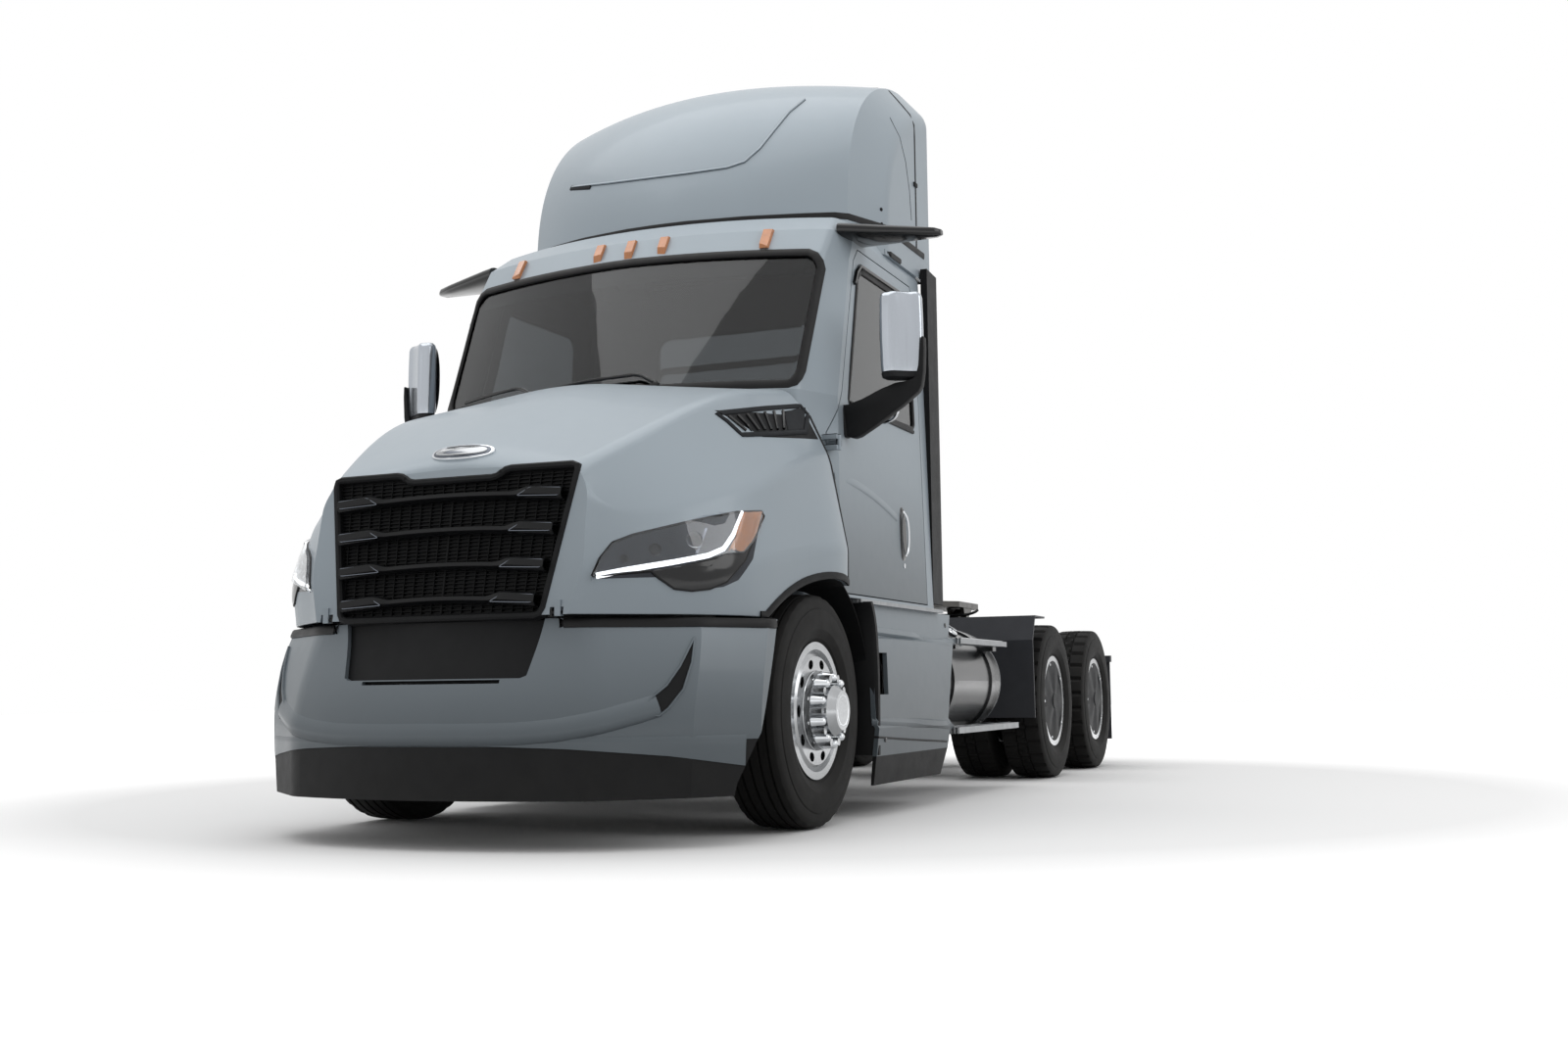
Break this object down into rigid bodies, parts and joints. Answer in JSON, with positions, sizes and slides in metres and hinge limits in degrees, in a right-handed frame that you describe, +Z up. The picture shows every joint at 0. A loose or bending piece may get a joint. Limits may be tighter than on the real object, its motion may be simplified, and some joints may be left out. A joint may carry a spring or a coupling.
{
  "type": "day-cab semi truck tractor unit",
  "caption": "Conventional day-cab tractor unit with tilting hood, opening doors, high roof fairing, side fairings, steering front axle, twin-tyred drive axles and tilting fifth wheel.",
  "frame": {"origin": "on the ground under the middle of the bounding box, between the left and right wheels", "axes": "+X to the vehicle's left, +Y to its rear (it faces -Y), +Z up"},
  "size_m": [2.942, 7.7678, 4.1075],
  "materials": {
    "body_paint": "gloss metallic",
    "black_plastic": "matte moulded",
    "gloss_black": "gloss",
    "glass": "tinted",
    "lamp_lens": "clear lens",
    "amber_lens": "amber lens",
    "red_lens": "red lens",
    "chrome": "polished",
    "polished_aluminium": "polished",
    "tread_plate": "satin",
    "frame_black": "semi-gloss",
    "cast_iron": "painted",
    "tyre_rubber": "matte",
    "trim_dark": "grained",
    "seat_cloth": "woven",
    "steel_dark": "satin"
  },
  "bodies": {
    "chassis": {"frame_rails": "frame_black", "crossmembers": "frame_black", "engine_block": "cast_iron", "radiator": "steel_dark", "front_bumper": "body_paint", "air_dam": "black_plastic", "cab_shell": "body_paint", "cab_glass": "glass", "roof_fairing": "body_paint", "cab_extenders": "black_plastic", "marker_lamps": "amber_lens", "mirror_cameras": "gloss_black", "dashboard": "trim_dark", "seats": "seat_cloth", "side_fairings": "body_paint", "fairing_skirts": "black_plastic", "fuel_tanks": "polished_aluminium", "tank_cradles": "polished_aluminium", "side_steps": "tread_plate", "deck_plate": "tread_plate", "front_axle": "frame_black", "drive_axles": "frame_black", "suspension": "steel_dark", "driveline": "steel_dark", "fifth_wheel_base": "steel_dark", "mud_guards": "black_plastic", "tail_lamps": "red_lens"},
    "hood": {"hood": "body_paint", "grille": "gloss_black", "headlamps": "lamp_lens", "hood_vents": "black_plastic"},
    "door_left": {"door_left": "body_paint", "door_glass_left": "glass", "mirror_left": "chrome"},
    "knuckle_left": {"knuckle_left": "cast_iron"},
    "front_wheel_left": {"front_tyre_left": "tyre_rubber", "front_wheel_left": "polished_aluminium"},
    "door_right": {"door_right": "body_paint", "door_glass_right": "glass", "mirror_right": "chrome"},
    "knuckle_right": {"knuckle_right": "cast_iron"},
    "front_wheel_right": {"front_tyre_right": "tyre_rubber", "front_wheel_right": "polished_aluminium"},
    "steering_wheel": {"steering_wheel": "trim_dark"},
    "fifth_wheel_plate": {"fifth_wheel_plate": "cast_iron"},
    "tie_rod": {"tie_rod": "steel_dark"},
    "rear_wheel_1_left": {"rear_tyres_1_left": "tyre_rubber", "rear_wheel_1_left": "polished_aluminium"},
    "rear_wheel_1_right": {"rear_tyres_1_right": "tyre_rubber", "rear_wheel_1_right": "polished_aluminium"},
    "rear_wheel_2_left": {"rear_tyres_2_left": "tyre_rubber", "rear_wheel_2_left": "polished_aluminium"},
    "rear_wheel_2_right": {"rear_tyres_2_right": "tyre_rubber", "rear_wheel_2_right": "polished_aluminium"}
  },
  "joints": [
    {"name": "hood_tilt", "type": "hinge", "parent": "chassis", "child": "hood", "pos_m": [0, -3.745, 0.905], "axis": [1, 0, 0], "range_deg": [0, 75]},
    {"name": "door_left_open", "type": "hinge", "parent": "chassis", "child": "door_left", "pos_m": [1.094, -2.122, 1.6], "axis": [0, 0, -1], "range_deg": [0, 70]},
    {"name": "door_right_open", "type": "hinge", "parent": "chassis", "child": "door_right", "pos_m": [-1.094, -2.122, 1.6], "axis": [0, 0, 1], "range_deg": [0, 70]},
    {"name": "steer_left", "type": "hinge", "parent": "chassis", "child": "knuckle_left", "pos_m": [0.88, -2.546, 0.508], "axis": [0, 0, 1], "range_deg": [-38, 38]},
    {"name": "steer_right", "type": "hinge", "parent": "chassis", "child": "knuckle_right", "pos_m": [-0.88, -2.546, 0.508], "axis": [0, 0, 1], "range_deg": [-38, 38]},
    {"name": "tie_rod_pivot", "type": "hinge", "parent": "knuckle_left", "child": "tie_rod", "pos_m": [0.88, -2.381, 0.38], "axis": [0, 0, 1], "range_deg": [-38, 38]},
    {"name": "steering_wheel_turn", "type": "hinge", "parent": "chassis", "child": "steering_wheel", "pos_m": [0.56, -1.746, 1.87], "axis": [0, 0.766, 0.6428], "range_deg": [-684, 684]},
    {"name": "fifth_wheel_tilt", "type": "hinge", "parent": "chassis", "child": "fifth_wheel_plate", "pos_m": [0, 2.214, 1.13], "axis": [1, 0, 0], "range_deg": [-11, 11]},
    {"name": "front_wheel_left_spin", "type": "hinge", "parent": "knuckle_left", "child": "front_wheel_left", "pos_m": [1.013, -2.546, 0.508], "axis": [1, 0, 0], "continuous": true},
    {"name": "front_wheel_right_spin", "type": "hinge", "parent": "knuckle_right", "child": "front_wheel_right", "pos_m": [-1.013, -2.546, 0.508], "axis": [1, 0, 0], "continuous": true},
    {"name": "rear_wheel_1_left_spin", "type": "hinge", "parent": "chassis", "child": "rear_wheel_1_left", "pos_m": [0.91, 1.614, 0.508], "axis": [1, 0, 0], "continuous": true},
    {"name": "rear_wheel_1_right_spin", "type": "hinge", "parent": "chassis", "child": "rear_wheel_1_right", "pos_m": [-0.91, 1.614, 0.508], "axis": [1, 0, 0], "continuous": true},
    {"name": "rear_wheel_2_left_spin", "type": "hinge", "parent": "chassis", "child": "rear_wheel_2_left", "pos_m": [0.91, 2.934, 0.508], "axis": [1, 0, 0], "continuous": true},
    {"name": "rear_wheel_2_right_spin", "type": "hinge", "parent": "chassis", "child": "rear_wheel_2_right", "pos_m": [-0.91, 2.934, 0.508], "axis": [1, 0, 0], "continuous": true}
  ],
  "couplings": [
    {"joint": "steer_right", "follows": "steer_left", "ratio": 1},
    {"joint": "tie_rod_pivot", "follows": "steer_left", "ratio": -1},
    {"joint": "steering_wheel_turn", "follows": "steer_left", "ratio": 18}
  ]
}
